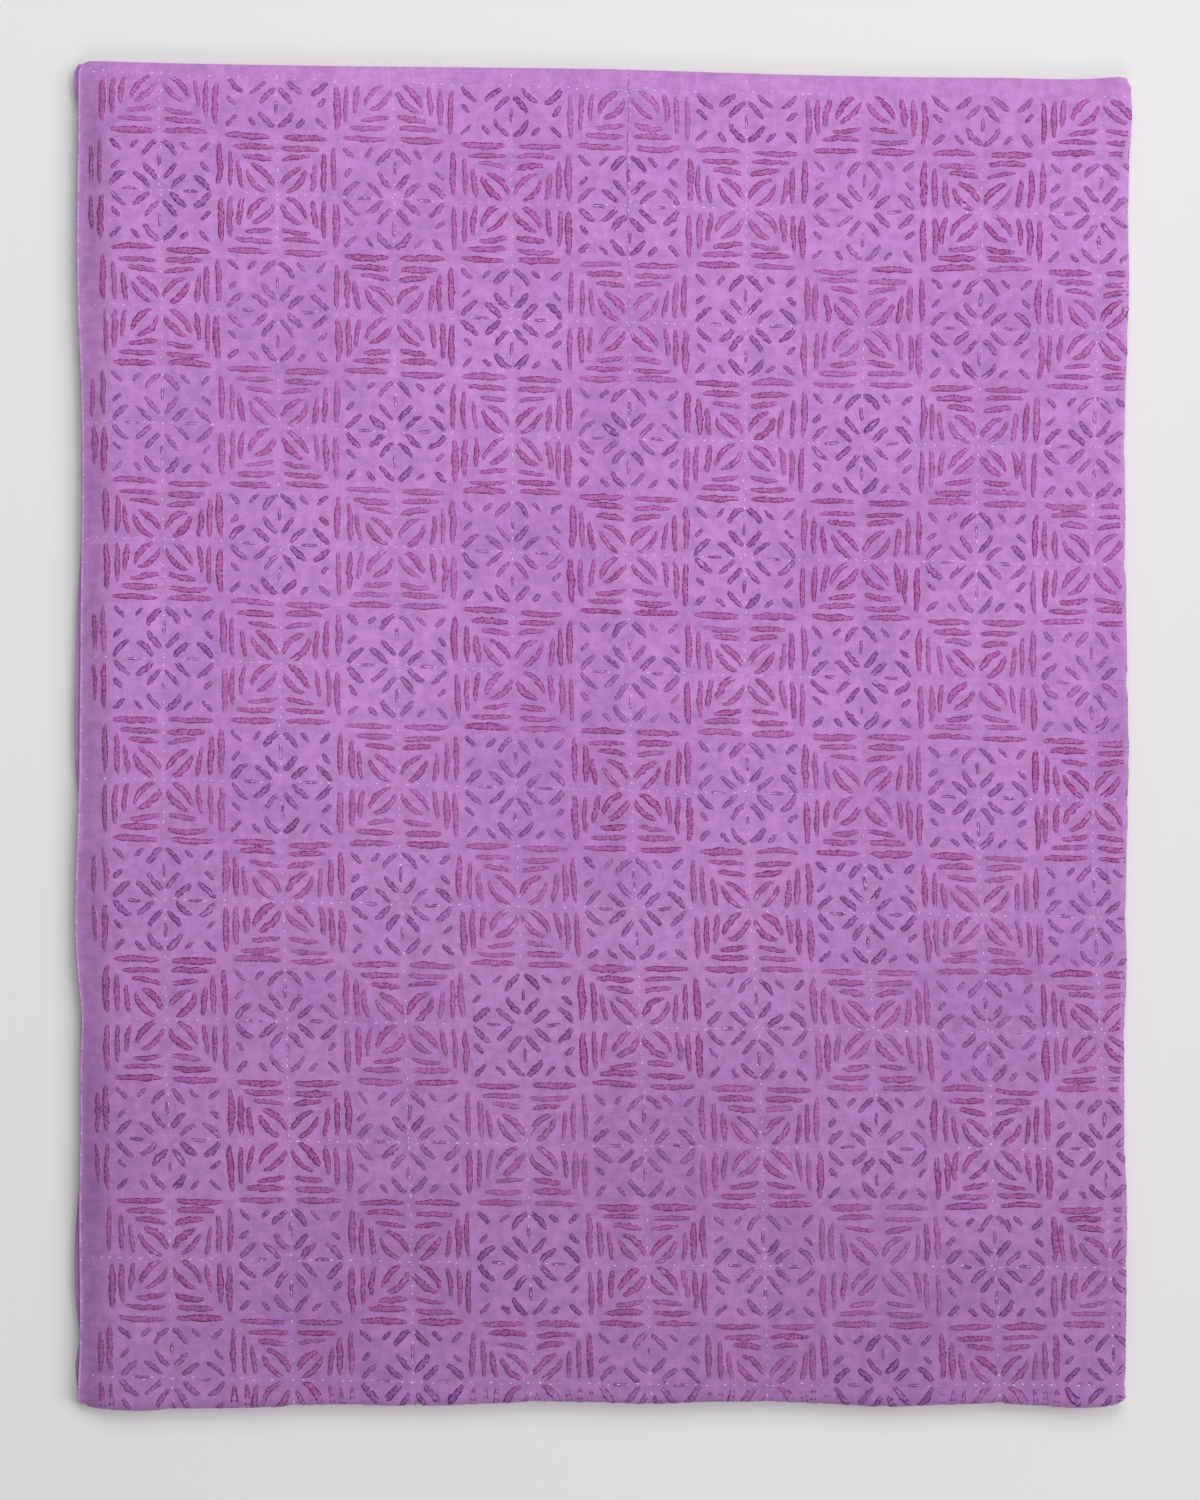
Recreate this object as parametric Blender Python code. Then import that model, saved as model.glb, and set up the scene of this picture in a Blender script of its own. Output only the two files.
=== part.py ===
# A hand quilted cotton quilt with a cutwork top, folded in quarters and lying flat.
# The first fold is on the right, the second at the bottom, so four layers lie on each other.
# The finished edges of all four are on the left and at the top.
# +X is the right of the folded quilt, +Y its top edge, +Z up from the surface that it lies on.
# The quilt is shaped as an open flat slab with its sewn channels, and every point is then folded.

import math
from collections import namedtuple

import bmesh
import bpy
import numpy as np

FOLDED_WIDTH = 1.0726  # left edge to the fold on the right
FOLDED_LENGTH = 1.3670  # top edge to the fold at the bottom
CROWN_THICKNESS = 0.0060  # between two lines of quilting
SEAM_THICKNESS = 0.0028  # on a line of quilting
HEM_THICKNESS = 0.0026  # at the finished edge
LAYER_STEP = 0.0070  # from the middle of one layer to the middle of the next
BLOCK_ACROSS = 0.1196
BLOCK_DOWN = 0.1213
LEFT_MARGIN = 0.0256  # finished edge to the first whole block
TOP_MARGIN = 0.0625
HEM_STEP = 0.0050  # the hem thickens over this distance
CORNER_RADIUS = 0.0130
EDGE_SINK = 0.40  # share of its height that the stack loses at the finished edges
EDGE_REACH = 0.022  # how far in from those edges the loss is felt
DRIFT_REACH = 0.050  # the blocks' drift fades out over this distance from an edge or a fold
OFFSET_REACH = 0.140  # a layer's own edge offset fades out over this distance
FOLD_STEPS = 6
DOUBLE_FOLD_STEPS = 8
CENTRE_ACROSS = -0.00096  # from the middle of the nominal rectangle to the middle of the real outline
CENTRE_DOWN = 0.00209
MILLIMETRE = 0.001

# Sizes that follow from these
LAYER_BEND = LAYER_STEP / 2  # the first fold's radius, to the middle of the cloth
PAIR_BEND = LAYER_STEP  # the second fold's radius, to the middle of a pair of layers
FOLD_REACH = LAYER_BEND + CROWN_THICKNESS / 2
DOUBLE_REACH = PAIR_BEND + FOLD_REACH
ACROSS_STRAIGHT = FOLDED_WIDTH - FOLD_REACH
DOWN_STRAIGHT = FOLDED_LENGTH - DOUBLE_REACH
ACROSS_TOTAL = 2 * ACROSS_STRAIGHT + math.pi * LAYER_BEND
DOWN_TOTAL = 2 * DOWN_STRAIGHT + math.pi * PAIR_BEND

# How far the blocks lie from an even grid on the top face, in millimetres.
# A row is a level down the face: its share of the way down, then the drift to the right and the drift
# down, each at the left, in the middle and at the right.
Drift = namedtuple("Drift", "share right_at_left right_at_middle right_at_right "
                            "down_at_left down_at_middle down_at_right")
DRIFTS = (
    Drift(0.00, -1.0, -1.0, 3.1, 0.0, 19.5, 26.6),
    Drift(0.35, 3.1, -1.0, -8.2, -8.2, 9.2, 20.0),
    Drift(0.55, 2.0, 3.1, -7.2, -4.1, 7.2, 18.4),
    Drift(0.75, 5.1, 14.3, 4.1, -2.0, 6.1, 11.3),
    Drift(1.00, 10.2, 21.5, 16.4, 0.0, 7.2, 7.2),
)

# How far an edge stands out from its nominal straight line, in millimetres.
# "at" is the distance along it in metres, from the left or from the top.
Edge = namedtuple("Edge", "at out")
TOP_EDGE = (
    Edge(0.00, 9.5), Edge(0.07, 7.4), Edge(0.22, 4.4), Edge(0.43, 2.2), Edge(0.54, 0.8), Edge(0.64, -2.2),
    Edge(0.74, -5.2), Edge(0.84, -7.2), Edge(0.94, -8.2), Edge(1.03, -9.2), Edge(1.06, -7.0),
)
BOTTOM_EDGE = (
    Edge(0.02, 4.0), Edge(0.06, 6.1), Edge(0.12, 4.0), Edge(0.20, 2.0), Edge(0.28, -1.0), Edge(0.33, 1.0),
    Edge(0.38, 0.0), Edge(0.46, -3.0), Edge(0.53, -3.0), Edge(0.59, -1.0), Edge(0.64, -3.0), Edge(0.71, -3.0),
    Edge(0.79, 0.0), Edge(0.82, 2.0), Edge(0.89, 0.0), Edge(0.94, -1.0), Edge(0.99, 1.0), Edge(1.02, 3.0),
    Edge(1.06, 2.0),
)
RIGHT_EDGE = (
    Edge(0.01, 6.1), Edge(0.04, 5.1), Edge(0.07, 2.6), Edge(0.12, 1.5), Edge(0.22, 1.5), Edge(0.27, 0.5),
    Edge(0.32, -1.5), Edge(0.55, -1.5), Edge(0.66, 0.5), Edge(0.73, 0.5), Edge(0.83, -1.5), Edge(0.94, -1.5),
    Edge(0.97, -2.6), Edge(1.09, -2.6), Edge(1.12, -1.5), Edge(1.35, -1.5),
)
# The finished edge on the left, down the top layer, round the second fold and back along the bottom layer
OUTER_LEFT_EDGE = (
    Edge(0.02, 1.0), Edge(0.27, 1.0), Edge(0.31, -1.0), Edge(0.58, -1.2), Edge(0.71, 0.0), Edge(0.94, 0.5),
    Edge(0.96, -2.0), Edge(1.01, -1.0), Edge(1.09, -1.0), Edge(1.14, 0.0), Edge(1.33, 0.6), Edge(1.37, 3.0),
    Edge(1.41, 5.5), Edge(1.44, -1.0), Edge(1.60, -2.5), Edge(1.65, 1.6), Edge(1.69, -1.5), Edge(1.75, 0.8),
    Edge(1.79, -2.5), Edge(2.20, -2.0), Edge(2.73, -3.0),
)
# The other finished edge, which lies under it on the two inner layers
INNER_LEFT_EDGE = (
    Edge(0.00, 4.0), Edge(0.03, 5.5), Edge(0.05, -1.0), Edge(0.48, -2.5), Edge(0.53, 1.0), Edge(0.62, 4.0),
    Edge(0.68, 5.0), Edge(0.73, 3.0), Edge(0.77, -2.0), Edge(1.12, -2.0), Edge(1.17, 3.0), Edge(1.27, 2.6),
    Edge(1.30, -2.0), Edge(1.37, -2.0), Edge(1.62, -3.0), Edge(2.10, -2.0), Edge(2.73, -4.0),
)


def eased(rows, at):
    # a smooth line through the rows of an edge table, in metres
    along = np.array([row.at for row in rows])
    out = np.array([row.out for row in rows]) * MILLIMETRE
    slope = np.gradient(out, along)
    at = np.clip(at, along[0], along[-1])
    k = np.clip(np.searchsorted(along, at) - 1, 0, len(along) - 2)
    span = along[k + 1] - along[k]
    t = (at - along[k]) / span
    start = (1 + 2 * t) * (1 - t) ** 2 * out[k] + t * (1 - t) ** 2 * span * slope[k]
    end = t * t * (3 - 2 * t) * out[k + 1] + t * t * (t - 1) * span * slope[k + 1]
    return start + end


def first_fold(u, w):
    # place across the folded quilt, and height from the middle of the pair of layers
    turn = np.clip((u - ACROSS_STRAIGHT) / LAYER_BEND, 0, math.pi)
    top_run = np.minimum(u, ACROSS_STRAIGHT)
    under_run = np.maximum(u - ACROSS_STRAIGHT - math.pi * LAYER_BEND, 0)
    across = top_run - under_run + (LAYER_BEND + w) * np.sin(turn)
    height = (LAYER_BEND + w) * np.cos(turn)
    return across, height


def second_fold(v, height):
    # place down the folded quilt, and height from the surface that it lies on
    turn = np.clip((v - DOWN_STRAIGHT) / PAIR_BEND, 0, math.pi)
    top_run = np.minimum(v, DOWN_STRAIGHT)
    under_run = np.maximum(v - DOWN_STRAIGHT - math.pi * PAIR_BEND, 0)
    down = top_run - under_run + (PAIR_BEND + height) * np.sin(turn)
    up = DOUBLE_REACH + (PAIR_BEND + height) * np.cos(turn)
    return down, up


def stack_height(across, down):
    # the stack is lower at the finished edges, and rises and falls a little over its whole face
    at_left = np.exp(-(np.maximum(across, 0) / EDGE_REACH) ** 2)
    at_top = np.exp(-(np.maximum(down, 0) / EDGE_REACH) ** 2)
    sunk = 1 - (1 - at_left) * (1 - at_top)
    swell = 0.030 * np.sin(7.3 * across + 2.1 * down) + 0.022 * np.sin(5.2 * down - 3.4 * across + 1.3)
    return (1 - EDGE_SINK * sunk) * (1 + swell)


def round_corners(across, down):
    # the four corners of the outline are rounded, each point keeping its ring round the corner's centre
    right = FOLDED_WIDTH - across
    below = FOLDED_LENGTH - down
    from_side = CORNER_RADIUS - np.minimum(across, right)
    from_end = CORNER_RADIUS - np.minimum(down, below)
    both = (from_side > 0) & (from_end > 0)
    ring = np.maximum(from_side, from_end)
    reach = np.hypot(np.maximum(from_side, 1e-9), np.maximum(from_end, 1e-9))
    pull = np.where(both, ring / reach, 1)
    across = across + np.where(both, from_side * (1 - pull), 0) * np.where(across < right, 1, -1)
    down = down + np.where(both, from_end * (1 - pull), 0) * np.where(down < below, 1, -1)
    return across, down


def folded(u, v, w):
    # u across and v down the open quilt, w above the middle of the cloth on its worked side
    outer = 1 - np.clip(u / OFFSET_REACH, 0, 1)
    inner = 1 - np.clip((ACROSS_TOTAL - u) / OFFSET_REACH, 0, 1)
    u = u - outer * eased(OUTER_LEFT_EDGE, v) + inner * eased(INNER_LEFT_EDGE, v)
    across, height = first_fold(u, w)
    down, up = second_fold(v, height)
    up = up * stack_height(across, down)
    across, down = round_corners(across, down)
    a = np.clip(across / FOLDED_WIDTH, 0, 1)
    b = np.clip(down / FOLDED_LENGTH, 0, 1)
    x = across - FOLDED_WIDTH / 2 + a * eased(RIGHT_EDGE, down)
    y = FOLDED_LENGTH / 2 - down + (1 - b) * eased(TOP_EDGE, across) - b * eased(BOTTOM_EDGE, across)
    return x - CENTRE_ACROSS, y - CENTRE_DOWN, up


def block_drift(column, row):
    # the drift of a point of the block grid on the top face, right and down, in metres
    s = np.clip(column / ((FOLDED_WIDTH - LEFT_MARGIN) / BLOCK_ACROSS), 0, 1)
    t = np.clip(row / ((FOLDED_LENGTH - TOP_MARGIN) / BLOCK_DOWN), 0, 1)
    shares = [level.share for level in DRIFTS]
    weights = ((1 - s) * (1 - 2 * s), 4 * s * (1 - s), s * (2 * s - 1))
    right = 0
    down = 0
    for place, weight in zip(("left", "middle", "right"), weights):
        right += weight * np.interp(t, shares, [getattr(level, "right_at_" + place) for level in DRIFTS])
        down += weight * np.interp(t, shares, [getattr(level, "down_at_" + place) for level in DRIFTS])
    return right * MILLIMETRE, down * MILLIMETRE


def channel_lines(margin, block, straight, bend, steps):
    # grid lines over the open cloth: its hem, the quilting and the crowns between it, and the turn of its fold
    total = 2 * straight + math.pi * bend
    half = []
    place = margin % (block / 2)
    while place < straight - block / 6:
        if place > 2 * HEM_STEP:
            half.append(place)
        place += block / 2
    turn = [straight + math.pi * bend * k / steps for k in range(steps + 1)]
    return [0, HEM_STEP] + half + turn + [total - place for place in reversed(half)] + [total - HEM_STEP, total]


def cloth_thickness(u, v):
    # full between the lines of quilting, thin on them and at the hem
    across = np.minimum(u, ACROSS_TOTAL - u)
    down = np.minimum(v, DOWN_TOTAL - v)
    off_line_across = np.abs(((across - LEFT_MARGIN) / BLOCK_ACROSS) % 1 - 0.5) * 2
    off_line_down = np.abs(((down - TOP_MARGIN) / BLOCK_DOWN) % 1 - 0.5) * 2
    puff = np.minimum(1, 2 * off_line_across) * np.minimum(1, 2 * off_line_down)
    thickness = SEAM_THICKNESS + (CROWN_THICKNESS - SEAM_THICKNESS) * puff
    from_edge = np.clip(np.minimum(across, down) / HEM_STEP, 0, 1)
    return HEM_THICKNESS + (thickness - HEM_THICKNESS) * from_edge


def build_quilt():
    across_lines = channel_lines(LEFT_MARGIN, BLOCK_ACROSS, ACROSS_STRAIGHT, LAYER_BEND, FOLD_STEPS)
    down_lines = channel_lines(TOP_MARGIN, BLOCK_DOWN, DOWN_STRAIGHT, PAIR_BEND, DOUBLE_FOLD_STEPS)
    columns = len(across_lines) - 1
    rows = len(down_lines) - 1

    bm = bmesh.new()
    bmesh.ops.create_grid(bm, x_segments=columns, y_segments=rows, size=0.5)
    for vert in bm.verts:
        column = round((vert.co.x + 0.5) * columns)
        row = round((0.5 - vert.co.y) * rows)
        vert.co = (across_lines[column], -down_lines[row], 0)
    bmesh.ops.solidify(bm, geom=bm.faces[:], thickness=CROWN_THICKNESS)

    place = np.array([vert.co[:] for vert in bm.verts])
    u = place[:, 0]
    v = -place[:, 1]
    worked_side = np.where(place[:, 2] > place[:, 2].mean(), 1, -1)
    w = worked_side * cloth_thickness(u, v) / 2
    # the bottom layer is pressed flat on what it lies on
    underneath = (worked_side > 0) & (v > DOWN_STRAIGHT + math.pi * PAIR_BEND / 2) & (u < ACROSS_STRAIGHT)
    off_edge = (u > HEM_STEP / 2) & (v < DOWN_TOTAL - HEM_STEP / 2)
    w = np.where(underneath & off_edge, CROWN_THICKNESS / 2, w)

    # on the top face the channels follow the blocks, which have drifted from an even grid
    right, down = block_drift((u - LEFT_MARGIN) / BLOCK_ACROSS, (v - TOP_MARGIN) / BLOCK_DOWN)
    inside = np.minimum(u, ACROSS_STRAIGHT - u)
    inside = np.minimum(inside, np.minimum(v, DOWN_STRAIGHT - v))
    follow = np.clip(inside / DRIFT_REACH, 0, 1)
    x, y, z = folded(u + follow * right, v + follow * down, w)
    for vert, *point in zip(bm.verts, x, y, z):
        vert.co = point

    mesh = bpy.data.meshes.new("applique_quilt")
    bm.to_mesh(mesh)
    bm.free()
    return bpy.data.objects.new("applique_quilt", mesh)


def cotton(name, colour, roughness):
    material = bpy.data.materials.new(name)
    material.use_nodes = True
    shader = material.node_tree.nodes["Principled BSDF"]
    shader.inputs["Base Color"].default_value = (*colour, 1)
    shader.inputs["Roughness"].default_value = roughness
    shader.inputs["Metallic"].default_value = 0
    return material


for old in list(bpy.data.objects):
    bpy.data.objects.remove(old, do_unlink=True)

parts = bpy.data.collections.new("folded_quilt")
bpy.context.scene.collection.children.link(parts)

quilt = build_quilt()
quilt.data.materials.append(cotton("lilac_cotton", (0.44, 0.19, 0.48), 0.92))
quilt.data.shade_smooth()
parts.objects.link(quilt)
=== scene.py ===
import math

import bmesh
import bpy
import numpy as np
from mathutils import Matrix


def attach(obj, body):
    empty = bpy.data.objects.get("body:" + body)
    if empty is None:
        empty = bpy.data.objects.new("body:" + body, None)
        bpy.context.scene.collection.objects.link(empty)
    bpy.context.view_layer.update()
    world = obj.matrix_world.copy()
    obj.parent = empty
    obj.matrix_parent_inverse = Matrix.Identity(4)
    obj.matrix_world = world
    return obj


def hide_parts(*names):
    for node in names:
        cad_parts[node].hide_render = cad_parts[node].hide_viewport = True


# A hand quilted cotton quilt with a cutwork top, folded in quarters and lying flat.
# Everything is laid out on the open cloth, u across and v down it from the top left corner of the
# face that shows, and then folded with it: first on the right, then at the bottom.

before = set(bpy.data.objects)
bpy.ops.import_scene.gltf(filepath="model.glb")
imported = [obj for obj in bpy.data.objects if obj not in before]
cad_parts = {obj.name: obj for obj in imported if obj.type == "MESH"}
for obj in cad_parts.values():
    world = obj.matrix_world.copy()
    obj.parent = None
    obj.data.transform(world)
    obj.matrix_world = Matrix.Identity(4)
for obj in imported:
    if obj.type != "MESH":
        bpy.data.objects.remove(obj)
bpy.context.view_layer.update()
print("quilt: frame loaded")

quilt = {
    "foldedWidth": 1.0726,
    "foldedLength": 1.3670,
    "crown": 0.0060,          # thickness between the lines of quilting
    "layerStep": 0.0070,      # middle of one layer to the next
    "blockAcross": 0.1196,
    "blockDown": 0.1213,
    "leftMargin": 0.0256,     # finished edge to the first whole block
    "topMargin": 0.0625,
    "cornerRadius": 0.0130,
    "edgeSink": 0.40,         # share of its height that the stack loses at the finished edges
    "edgeReach": 0.022,
    "offsetReach": 0.140,
    "centreAcross": -0.00096,
    "centreDown": 0.00209,
}

layerBend = quilt["layerStep"] / 2
pairBend = quilt["layerStep"]
foldReach = layerBend + quilt["crown"] / 2
doubleReach = pairBend + foldReach
acrossStraight = quilt["foldedWidth"] - foldReach
downStraight = quilt["foldedLength"] - doubleReach
acrossTotal = 2 * acrossStraight + math.pi * layerBend
downTotal = 2 * downStraight + math.pi * pairBend

# Drift of the blocks from an even grid, mm: share of the way down, then to the right (at the left,
# middle and right of the face), then down (left, middle, right)
blockDrifts = [
    (0.00, -1.0, -1.0, 3.1, 0.0, 19.5, 26.6),
    (0.35, 3.1, -1.0, -8.2, -8.2, 9.2, 20.0),
    (0.55, 2.0, 3.1, -7.2, -4.1, 7.2, 18.4),
    (0.75, 5.1, 14.3, 4.1, -2.0, 6.1, 11.3),
    (1.00, 10.2, 21.5, 16.4, 0.0, 7.2, 7.2),
]

# How far each edge stands out: metres along it, then mm out
topEdge = [(0.00, 9.5), (0.07, 7.4), (0.22, 4.4), (0.43, 2.2), (0.54, 0.8), (0.64, -2.2), (0.74, -5.2),
           (0.84, -7.2), (0.94, -8.2), (1.03, -9.2), (1.06, -7.0)]
bottomEdge = [(0.02, 4.0), (0.06, 6.1), (0.12, 4.0), (0.20, 2.0), (0.28, -1.0), (0.33, 1.0), (0.38, 0.0),
              (0.46, -3.0), (0.53, -3.0), (0.59, -1.0), (0.64, -3.0), (0.71, -3.0), (0.79, 0.0),
              (0.82, 2.0), (0.89, 0.0), (0.94, -1.0), (0.99, 1.0), (1.02, 3.0), (1.06, 2.0)]
rightEdge = [(0.01, 6.1), (0.04, 5.1), (0.07, 2.6), (0.12, 1.5), (0.22, 1.5), (0.27, 0.5), (0.32, -1.5),
             (0.55, -1.5), (0.66, 0.5), (0.73, 0.5), (0.83, -1.5), (0.94, -1.5), (0.97, -2.6),
             (1.09, -2.6), (1.12, -1.5), (1.35, -1.5)]
outerLeftEdge = [(0.02, 1.0), (0.27, 1.0), (0.31, -1.0), (0.58, -1.2), (0.71, 0.0), (0.94, 0.5),
                 (0.96, -2.0), (1.01, -1.0), (1.09, -1.0), (1.14, 0.0), (1.33, 0.6), (1.37, 3.0),
                 (1.41, 5.5), (1.44, -1.0), (1.60, -2.5), (1.65, 1.6), (1.69, -1.5), (1.75, 0.8),
                 (1.79, -2.5), (2.20, -2.0), (2.73, -3.0)]
innerLeftEdge = [(0.00, 4.0), (0.03, 5.5), (0.05, -1.0), (0.48, -2.5), (0.53, 1.0), (0.62, 4.0),
                 (0.68, 5.0), (0.73, 3.0), (0.77, -2.0), (1.12, -2.0), (1.17, 3.0), (1.27, 2.6),
                 (1.30, -2.0), (1.37, -2.0), (1.62, -3.0), (2.10, -2.0), (2.73, -4.0)]


def eased(rows, at):
    # a smooth line through the rows of an edge table, in metres
    along = np.array([row[0] for row in rows])
    out = np.array([row[1] for row in rows]) * 0.001
    slope = np.gradient(out, along)
    at = np.clip(at, along[0], along[-1])
    k = np.clip(np.searchsorted(along, at) - 1, 0, len(along) - 2)
    span = along[k + 1] - along[k]
    t = (at - along[k]) / span
    start = (1 + 2 * t) * (1 - t) ** 2 * out[k] + t * (1 - t) ** 2 * span * slope[k]
    end = t * t * (3 - 2 * t) * out[k + 1] + t * t * (t - 1) * span * slope[k + 1]
    return start + end


def softNoise(u, v, size, seed):
    # smooth random hills and hollows, -1 to 1, about one to each size of cloth
    table = np.random.default_rng(seed).uniform(-1, 1, (64, 64))
    x = np.asarray(u) / size
    y = np.asarray(v) / size
    i = np.floor(x).astype(int)
    j = np.floor(y).astype(int)
    s = x - i
    t = y - j
    s = s * s * (3 - 2 * s)
    t = t * t * (3 - 2 * t)
    upper = table[i % 64, j % 64] * (1 - s) + table[(i + 1) % 64, j % 64] * s
    lower = table[i % 64, (j + 1) % 64] * (1 - s) + table[(i + 1) % 64, (j + 1) % 64] * s
    return upper * (1 - t) + lower * t


def stackHeight(across, down):
    atLeft = np.exp(-(np.maximum(across, 0) / quilt["edgeReach"]) ** 2)
    atTop = np.exp(-(np.maximum(down, 0) / quilt["edgeReach"]) ** 2)
    sunk = 1 - (1 - atLeft) * (1 - atTop)
    swell = 0.030 * np.sin(7.3 * across + 2.1 * down) + 0.022 * np.sin(5.2 * down - 3.4 * across + 1.3)
    return (1 - quilt["edgeSink"] * sunk) * (1 + swell)


def roundCorners(across, down):
    radius = quilt["cornerRadius"]
    right = quilt["foldedWidth"] - across
    below = quilt["foldedLength"] - down
    fromSide = radius - np.minimum(across, right)
    fromEnd = radius - np.minimum(down, below)
    both = (fromSide > 0) & (fromEnd > 0)
    ring = np.maximum(fromSide, fromEnd)
    reach = np.hypot(np.maximum(fromSide, 1e-9), np.maximum(fromEnd, 1e-9))
    pull = np.where(both, ring / reach, 1)
    across = across + np.where(both, fromSide * (1 - pull), 0) * np.where(across < right, 1, -1)
    down = down + np.where(both, fromEnd * (1 - pull), 0) * np.where(down < below, 1, -1)
    return across, down


def foldedPlace(u, v, w):
    # where a point of the open cloth lies once it is folded; w is its height on the worked side
    outer = 1 - np.clip(u / quilt["offsetReach"], 0, 1)
    inner = 1 - np.clip((acrossTotal - u) / quilt["offsetReach"], 0, 1)
    u = u - outer * eased(outerLeftEdge, v) + inner * eased(innerLeftEdge, v)
    turn = np.clip((u - acrossStraight) / layerBend, 0, math.pi)
    across = np.minimum(u, acrossStraight) - np.maximum(u - acrossStraight - math.pi * layerBend, 0)
    across = across + (layerBend + w) * np.sin(turn)
    height = (layerBend + w) * np.cos(turn)
    turn = np.clip((v - downStraight) / pairBend, 0, math.pi)
    down = np.minimum(v, downStraight) - np.maximum(v - downStraight - math.pi * pairBend, 0)
    down = down + (pairBend + height) * np.sin(turn)
    up = doubleReach + (pairBend + height) * np.cos(turn)
    up = up * stackHeight(across, down)
    across, down = roundCorners(across, down)
    a = np.clip(across / quilt["foldedWidth"], 0, 1)
    b = np.clip(down / quilt["foldedLength"], 0, 1)
    x = across - quilt["foldedWidth"] / 2 + a * eased(rightEdge, down)
    y = quilt["foldedLength"] / 2 - down + (1 - b) * eased(topEdge, across) - b * eased(bottomEdge, across)
    return x - quilt["centreAcross"], y - quilt["centreDown"], up


def clothFromBlocks(column, row):
    # the place on the open cloth of a point of the block grid, drifted as the maker cut it
    s = np.clip(column / ((quilt["foldedWidth"] - quilt["leftMargin"]) / quilt["blockAcross"]), 0, 1)
    t = np.clip(row / ((quilt["foldedLength"] - quilt["topMargin"]) / quilt["blockDown"]), 0, 1)
    weights = ((1 - s) * (1 - 2 * s), 4 * s * (1 - s), s * (2 * s - 1))
    shares = [level[0] for level in blockDrifts]
    right = 0
    down = 0
    for k, weight in enumerate(weights):
        right = right + weight * np.interp(t, shares, [level[1 + k] for level in blockDrifts]) * 0.001
        down = down + weight * np.interp(t, shares, [level[4 + k] for level in blockDrifts]) * 0.001
    u = quilt["leftMargin"] + quilt["blockAcross"] * column + right
    v = quilt["topMargin"] + quilt["blockDown"] * row + down
    # the uneven outline moves the cloth too, and the blocks are set against that
    across = np.clip(u, 0, quilt["foldedWidth"])
    below = np.clip(v, 0, quilt["foldedLength"])
    a = across / quilt["foldedWidth"]
    b = below / quilt["foldedLength"]
    outer = 1 - np.clip(u / quilt["offsetReach"], 0, 1)
    u = u - a * eased(rightEdge, below) + outer * eased(outerLeftEdge, v)
    v = v + (1 - b) * eased(topEdge, across) - b * eased(bottomEdge, across)
    return u, v


def blocksFromCloth(u, v):
    column = (u - quilt["leftMargin"]) / quilt["blockAcross"]
    row = (v - quilt["topMargin"]) / quilt["blockDown"]
    for step in range(4):
        uNow, vNow = clothFromBlocks(column, row)
        column = column + (u - uNow) / quilt["blockAcross"]
        row = row + (v - vNow) / quilt["blockDown"]
    return column, row


relief = {
    "channelWidth": 0.0085,   # half width of the valley that a line of quilting pulls down
    "channelDepth": 0.0016,
    "domeDepth": 0.0005,      # the crown's slow fall towards the lines
    "puckerPitch": 0.0210,
    "puckerHeight": 0.00045,
    "puckerReach": 0.018,     # how far from a line of quilting the small puckers fade out
    "crumple": 0.00050,
    "underFlat": 0.0004,      # how much the weight of the stack presses the underside flat
    "underChannel": 0.0006,
    "backChannel": 0.0008,
    "backChannelWidth": 0.012,
}

# The cloth's share of its full thickness at some distances from the finished edge, metres: the turned
# hem has a small roll 2 mm in
hemRoll = [(0, 0.16), (0.0008, 0.40), (0.002, 0.53), (0.0035, 0.46), (0.006, 0.55), (0.011, 0.80),
           (0.020, 1.0)]

# Old fold creases that still stand on the face: from (u, v) to (u, v), then height and half width, mm.
# A raised one is steep on the left and falls slowly to the right.
creases = [
    (0.566, 0.00, 0.556, 0.42, 2.3, 11),
    (0.556, 0.42, 0.558, 0.85, 3.1, 11),
    (0.558, 0.85, 0.567, 1.30, 2.4, 11),
    (0.025, 0.00, 0.026, 0.16, 0.5, 3),
    (0.64, 0.392, 1.03, 0.388, -1.2, 9),
    (0.90, 0.612, 1.04, 0.612, -1.1, 9),
    (0.67, 0.846, 1.03, 0.852, -1.3, 9),
    (0.56, 1.085, 0.88, 1.090, -1.1, 9),
    (0.67, 1.158, 1.03, 1.161, -1.1, 9),
    (0.05, 0.786, 0.35, 0.790, -1.0, 9),
    (0.05, 1.205, 0.33, 1.209, -1.0, 9),
]


def creaseHeight(u, v):
    rise = 0
    for u0, v0, u1, v1, height, width in creases:
        length = math.hypot(u1 - u0, v1 - v0)
        along = ((u - u0) * (u1 - u0) + (v - v0) * (v1 - v0)) / length
        off = ((u - u0) * (v1 - v0) - (v - v0) * (u1 - u0)) / length
        ends = 1 / (1 + np.exp(-along / 0.012)) / (1 + np.exp((along - length) / 0.012))
        if height > 0:
            off = np.where(off > 0, off * 0.35, off)
        rise = rise + height * 0.001 * ends * np.exp(-(off / (width * 0.001)) ** 2)
    return rise


def edgeDistance(u, v):
    return np.minimum(np.minimum(u, acrossTotal - u), np.minimum(v, downTotal - v))


def hemShare(u, v):
    return np.interp(edgeDistance(u, v), [row[0] for row in hemRoll], [row[1] for row in hemRoll])


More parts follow.
